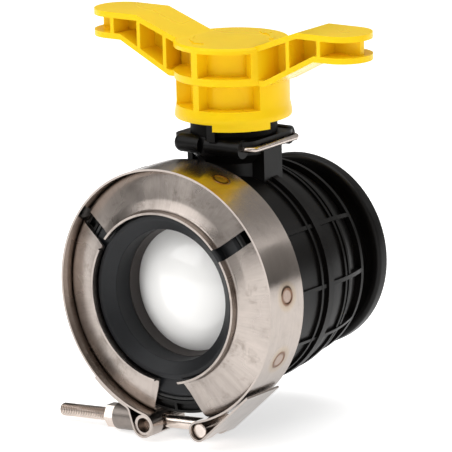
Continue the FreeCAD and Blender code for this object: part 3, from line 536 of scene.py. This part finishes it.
def arrow_points(sizes, start, stop, count=28):
    """Points of a curved arrow that stands on a flat top, as rows of four across its path.

    The path is an arc about the stem axis. The half width is constant along the shaft, jumps at the barb and
    falls in a straight line to the tip.
    """
    barb = 0.72
    barb_widths = 2.6
    tip = 0.00002
    share = np.concatenate([steps(0, barb, count), steps(barb + 0.002, 1, 8)])
    width = sizes.arrow_radius * 0.05
    half = np.where(share <= barb, width, barb_widths * width * (1 - share) / (1 - barb) + tip)
    a = np.radians(start + (stop - start) * share)[:, None]
    side = np.array([-1.0, 1.0, 1.0, -1.0])
    rise = np.array([1.0, 1.0, -1.0, -1.0]) * sizes.arrow_rise
    radius = sizes.arrow_radius + half[:, None] * side
    return np.stack([radius * np.cos(a), radius * np.sin(a), np.broadcast_to(rise, radius.shape)], -1)


def weld_patch(sizes, strap_radius, angle, y, columns=48):
    """Points of a thin round patch that lies on the strap, with a raised ring.

    Distance from the weld's middle runs along the strap's curve and along the flow axis. The height is a
    cosine hump about the ring's radius, on a skin that thins towards the halo's edge, and is least inside the
    ring. The underside is sunk in the strap.
    """
    skin = 0.00003
    thinnest = 0.00001
    sunk = 0.0004
    ring = sizes.weld_radius
    half = ring * 0.24
    reach = np.concatenate([steps(0, ring - half, 4), steps(ring - half, ring + half, 9)[1:],
                            steps(ring + half, sizes.weld_halo, 8)[1:]])
    hump = np.where(np.abs(reach - ring) < half, 0.5 + 0.5 * np.cos(math.pi * (reach - ring) / half), 0)
    dish = np.where(reach < ring, -0.25 * sizes.weld_rise, 0)
    rise = skin * (1 - reach / sizes.weld_halo) + sizes.weld_rise * hump + dish * (reach < ring - half)
    rise = np.maximum(rise, thinnest)
    reach = np.concatenate([reach, reach[::-1]])
    rise = np.concatenate([rise, np.full(len(rise), -sunk)])
    turn = steps(0, 2 * math.pi, columns + 1)[:-1]
    along = math.radians(angle) + reach[:, None] * np.cos(turn) / strap_radius
    radius = strap_radius + np.broadcast_to(rise[:, None], along.shape)
    flow = y + reach[:, None] * np.sin(turn)
    points = np.stack([radius * np.cos(along), flow, radius * np.sin(along)], -1)
    return points, np.repeat(reach / sizes.weld_halo, columns)


class VALVE_OT_mouldings(bpy.types.Operator):
    """Round and finish the black body, the stem and the carrier, and finish the stem's washer"""
    bl_idname = "valve.mouldings"
    bl_label = "Body, stem and carrier"

    def execute(self, context):
        colours = context.scene.valve_colours
        edge = context.scene.valve_sizes.mould_edge
        body = moulded("body_satin_black", colours.body, 0.34, gloss=0.17).material
        rounded_copy("valve_body", body, edge)
        # Painted shade: the stem is less glossy than the body, so it stays as dark as the shade under the
        # handle's skirt
        stem = moulded("stem_dull_black_painted_shade", colours.body, 0.5, gloss=0.05).material
        rounded_copy("stem", stem, edge)
        carrier = moulded("carrier_satin_grey", colours.carrier, 0.42, gloss=0.26).material
        rounded_copy("seat_carrier", carrier, edge)
        washer = moulded("washer_waxy", shade(colours.ball, 0.8), 0.45, grain=0.00001, spread=0.1).material
        paint("stem_washer", washer)
        return {"FINISHED"}


class VALVE_OT_handle(bpy.types.Operator):
    """Round and finish the yellow handle"""
    bl_idname = "valve.handle"
    bl_label = "Handle"

    def execute(self, context):
        rounded_copy("handle", handle_finish(context.scene.valve_colours.handle),
                     context.scene.valve_sizes.handle_edge, rings=3)
        return {"FINISHED"}


class VALVE_OT_turn_mark(bpy.types.Operator):
    """Raise a plain curved arrow on the hub for the quarter turn"""
    bl_idname = "valve.turn_mark"
    bl_label = "Turn mark"

    def execute(self, context):
        sizes = context.scene.valve_sizes
        x, y = joint_of("handle_turn")["pos_m"][:2]
        centre = np.array([x, y, hub_top(y)])
        sweep = 62.0
        finish = handle_finish(context.scene.valve_colours.handle)
        for number, start in enumerate((200.0, 20.0)):
            name = "turn_mark_%d" % (number + 1)
            points = centre + arrow_points(sizes, start, start + sweep)
            mesh = grid_mesh(name, points, close_v=True, cap_u=True)
            tidy_mesh(mesh)
            sharpen(mesh, 40)
            piece = place(name, mesh, "handle", finish)
            round_edges(piece, sizes.arrow_rise * 0.4, 2)
        return {"FINISHED"}


class VALVE_OT_ball(bpy.types.Operator):
    """Round and finish the ball and its two seats"""
    bl_idname = "valve.ball"
    bl_label = "Ball and seats"

    def execute(self, context):
        colours = context.scene.valve_colours
        sizes = context.scene.valve_sizes
        rounded_copy("ball", ball_finish(colours.ball), sizes.mould_edge)
        seat = moulded("seat_waxy_brown", colours.seat, 0.40, grain=0.00001, spread=0.1).material
        for node in ("front_seat", "rear_seat"):
            rounded_copy(node, seat, sizes.sheet_edge)
        return {"FINISHED"}


class VALVE_OT_seals(bpy.types.Operator):
    """Finish the ring seals"""
    bl_idname = "valve.seals"
    bl_label = "Seals"

    def execute(self, context):
        rubber = rubber_finish()
        for row in frame["record"]["subparts"]:
            if row["material_slot"] == "seal_rubber":
                paint(row["node"], rubber)
        return {"FINISHED"}


class VALVE_OT_segments(bpy.types.Operator):
    """Round and finish the three pressed segments of the clamp"""
    bl_idname = "valve.segments"
    bl_label = "Clamp segments"

    def execute(self, context):
        steel = context.scene.valve_colours.steel
        sheet = sheet_steel("segment_pressed_steel", steel, 0.25, smudge=0.30, radial=True).material
        for side in ("left", "top", "right"):
            rounded_copy("clamp_segment_" + side, sheet, context.scene.valve_sizes.sheet_edge)
        return {"FINISHED"}


class VALVE_OT_strap(bpy.types.Operator):
    """Round and finish the outer strap of the clamp"""
    bl_idname = "valve.strap"
    bl_label = "Clamp strap"

    def execute(self, context):
        steel = context.scene.valve_colours.steel
        strap = sheet_steel("strap_bright_steel", steel, 0.17, smudge=0.10, radial=False).material
        rounded_copy("clamp_band", strap, context.scene.valve_sizes.sheet_edge)
        return {"FINISHED"}


class VALVE_OT_welds(bpy.types.Operator):
    """Add the spot welds that join the strap to its segments, with their heat tint"""
    bl_idname = "valve.welds"
    bl_label = "Spot welds"

    def execute(self, context):
        colours = context.scene.valve_colours
        sizes = context.scene.valve_sizes
        finish = weld_finish(colours.steel, colours.tint)
        low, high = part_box("clamp_band")
        radius = high[2]
        middle = (low[1] + high[1]) / 2
        top_shift = 0.0015
        spots = ((5.0, 0.0), (-25.0, 0.0), (-55.0, 0.0), (67.2, top_shift), (112.8, top_shift), (175.0, 0.0),
                 (205.0, 0.0), (235.0, 0.0))
        for number, (angle, shift) in enumerate(spots):
            points, reach = weld_patch(sizes, radius, angle, middle + shift)
            name = "spot_weld_%d" % (number + 1)
            mesh = grid_mesh(name, points, close_v=True)
            mesh.attributes.new("reach", "FLOAT", "POINT").data.foreach_set("value", reach)
            tidy_mesh(mesh)
            sharpen(mesh, 60)
            place(name, mesh, "clamp", finish)
        return {"FINISHED"}


class VALVE_OT_bolt(bpy.types.Operator):
    """Build the T-bolt with its rolled thread in place of the plain one"""
    bl_idname = "valve.bolt"
    bl_label = "Threaded T-bolt"

    def execute(self, context):
        sizes = context.scene.valve_sizes
        head_edge = 0.001
        nut = joint_of("nut_turn")
        along = np.array(nut["axis"])
        along /= np.linalg.norm(along)
        head = np.array(nut["pos_m"]) - along * sizes.head_to_nut
        low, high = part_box("t_bolt")
        bar = round_bar(sizes.head_radius, low[1], high[1], head_edge) + np.array([head[0], 0, head[2]])
        s, u, v, depth = threaded_shank(sizes)
        across = np.array([0.0, 1.0, 0.0])
        other = np.cross(along, across)
        shank = head + s[..., None] * along + u[..., None] * across + v[..., None] * other
        mesh = joined("threaded_t_bolt", [(bar, np.zeros(bar.shape[:2])), (shank, depth)])
        tidy_mesh(mesh)
        sharpen(mesh, 50)
        finish = thread_finish(shade(context.scene.valve_colours.steel, 1.8))
        piece = place("threaded_t_bolt", mesh, "clamp", finish)
        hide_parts("t_bolt")
        return {"FINISHED"}


class VALVE_OT_latch(bpy.types.Operator):
    """Round and finish the trunnion, the sleeve and the nut of the clamp's latch"""
    bl_idname = "valve.latch"
    bl_label = "Latch"

    def execute(self, context):
        steel = context.scene.valve_colours.steel
        edge = context.scene.valve_sizes.sheet_edge
        machined = turned_steel("trunnion_machined_steel", shade(steel, 1.15), 0.26).material
        rounded_copy("trunnion", machined, edge)
        bright = turned_steel("nut_bright_steel", shade(steel, 1.65), 0.22).material
        rounded_copy("clamp_nut", bright, edge)
        dull = turned_steel("spacer_dull_steel", shade(steel, 0.60), 0.36).material
        rounded_copy("clamp_spacer", dull, edge)
        return {"FINISHED"}


class VALVE_OT_clip(bpy.types.Operator):
    """Finish the bent wire that holds the stem"""
    bl_idname = "valve.clip"
    bl_label = "Retaining clip"

    def execute(self, context):
        steel = context.scene.valve_colours.steel
        bright = turned_steel("clip_bright_wire", shade(steel, 1.4), 0.26).material
        rounded_copy("retaining_clip", bright, 0)
        return {"FINISHED"}


class VALVE_OT_stage(bpy.types.Operator):
    """Set up the pale floor, the soft lights and the camera"""
    bl_idname = "valve.stage"
    bl_label = "Stage"

    def execute(self, context):
        self.lay_floor(context)
        self.hang_lights(context)
        self.fill_room(context)
        self.set_camera(context)
        return {"FINISHED"}

    def lay_floor(self, context):
        """A flat square far larger than the view, just under the lowest point of the clamp."""
        colour = context.scene.valve_colours.floor
        gap = 0.0005
        half_side = 12.0
        level = cad_box[0].z - gap
        reach = steps(-half_side, half_side, 2)
        x, y = np.meshgrid(reach, reach, indexing="ij")
        points = np.stack([x, y, np.full_like(x, level)], -1)
        floor = bpy.data.objects.new("studio_floor", grid_mesh("studio_floor", points[:, ::-1]))
        context.scene.collection.objects.link(floor)
        finish = Finish("floor_matte", colour, 0.9)
        finish.colours(finish.noise(scale=3, detail=2), [(0.3, shade(colour, 0.99)), (0.7, colour)])
        finish.shader.inputs["Specular IOR Level"].default_value = 0.1
        finish.shader.inputs["Emission Color"].default_value = (1, 1, 1, 1)
        finish.shader.inputs["Emission Strength"].default_value = 0.60
        floor.data.materials.append(finish.material)

    def hang_lights(self, context):
        """Large soft panels, each given by its place, its size and its power, turned to the valve's middle."""
        centre = Vector((0.0, 0.04, 0.03))
        panels = (
            ("key", (-1.3, -1.9, 1.85), (2.4, 2.4), 36.0),
            ("fill", (2.2, -1.4, 0.8), (2.0, 2.5), 8.0),
            ("top", (0.1, 0.2, 2.6), (3.0, 3.0), 58.0),
            ("rim", (1.6, 1.5, 1.3), (1.2, 0.8), 4.0),
        )
        for name, spot, size, power in panels:
            light = bpy.data.lights.new(name, "AREA")
            light.shape = "RECTANGLE"
            light.size, light.size_y = size
            light.energy = power
            lamp = bpy.data.objects.new(name, light)
            lamp.location = spot
            lamp.rotation_euler = (centre - Vector(spot)).to_track_quat("-Z", "Y").to_euler()
            context.scene.collection.objects.link(lamp)

    def fill_room(self, context):
        """A softly mottled grey room round the stage, so that the steel has something to mirror."""
        dark = (0.085, 0.083, 0.08, 1)
        pale = (0.46, 0.45, 0.44, 1)
        world = bpy.data.worlds.new("studio")
        context.scene.world = world
        world.use_nodes = True
        tree = world.node_tree
        background = tree.nodes["Background"]
        background.inputs["Strength"].default_value = 1.0
        direction = tree.nodes.new("ShaderNodeTexCoord").outputs["Generated"]
        patches = tree.nodes.new("ShaderNodeTexNoise")
        patches.inputs["Scale"].default_value = 1.6
        patches.inputs["Detail"].default_value = 1.5
        tree.links.new(direction, patches.inputs["Vector"])
        ramp = tree.nodes.new("ShaderNodeValToRGB")
        ramp.color_ramp.elements[0].position = 0.34
        ramp.color_ramp.elements[0].color = dark
        ramp.color_ramp.elements[1].position = 0.66
        ramp.color_ramp.elements[1].color = pale
        tree.links.new(patches.outputs["Fac"], ramp.inputs["Fac"])
        tree.links.new(ramp.outputs["Color"], background.inputs["Color"])
        context.scene.view_settings.view_transform = "Standard"

    def set_camera(self, context):
        """Places the camera on a sphere round its aim point, then leans it by its roll."""
        view = context.scene.valve_camera
        a = math.radians(view.azimuth)
        e = math.radians(view.elevation)
        r = math.radians(view.roll)
        back = Vector((math.sin(a) * math.cos(e), -math.cos(a) * math.cos(e), math.sin(e)))
        right = Vector((math.cos(a), math.sin(a), 0))
        up = back.cross(right)
        spot = Vector(view.aim) + right * view.right + up * view.up + back * view.distance
        side = right * math.cos(r) + up * math.sin(r)
        top = up * math.cos(r) - right * math.sin(r)
        camera = bpy.data.objects.new("camera", bpy.data.cameras.new("camera"))
        camera.data.lens = view.lens
        camera.data.sensor_width = 36.0
        camera.data.clip_end = 50.0
        camera.matrix_world = Matrix((
            (side.x, top.x, back.x, spot.x), (side.y, top.y, back.y, spot.y),
            (side.z, top.z, back.z, spot.z), (0, 0, 0, 1)))
        context.scene.collection.objects.link(camera)
        context.scene.camera = camera


class VALVE_PT_pieces(bpy.types.Panel):
    bl_label = "Ball valve"
    bl_idname = "VALVE_PT_pieces"
    bl_space_type = "VIEW_3D"
    bl_region_type = "UI"
    bl_category = "Valve"

    def draw(self, context):
        layout = self.layout
        for group in (context.scene.valve_colours, context.scene.valve_sizes, context.scene.valve_camera):
            box = layout.box()
            for name in group.__annotations__:
                box.prop(group, name)
        for operator in operators:
            layout.operator(operator.bl_idname)


groups = (ValveColours, ValveSizes, ValveCamera)
operators = (VALVE_OT_stage, VALVE_OT_mouldings, VALVE_OT_handle, VALVE_OT_turn_mark, VALVE_OT_ball,
             VALVE_OT_seals, VALVE_OT_segments, VALVE_OT_strap, VALVE_OT_welds, VALVE_OT_bolt, VALVE_OT_latch,
             VALVE_OT_clip)
classes = groups + operators + (VALVE_PT_pieces,)


def register():
    for entry in classes:
        bpy.utils.register_class(entry)
    bpy.types.Scene.valve_colours = PointerProperty(type=ValveColours)
    bpy.types.Scene.valve_sizes = PointerProperty(type=ValveSizes)
    bpy.types.Scene.valve_camera = PointerProperty(type=ValveCamera)


def unregister():
    del bpy.types.Scene.valve_camera
    del bpy.types.Scene.valve_sizes
    del bpy.types.Scene.valve_colours
    for entry in reversed(classes):
        bpy.utils.unregister_class(entry)


def main():
    register()
    for operator in operators:
        group, call = operator.bl_idname.split(".")
        getattr(getattr(bpy.ops, group), call)()


if __name__ == "__main__":
    main()
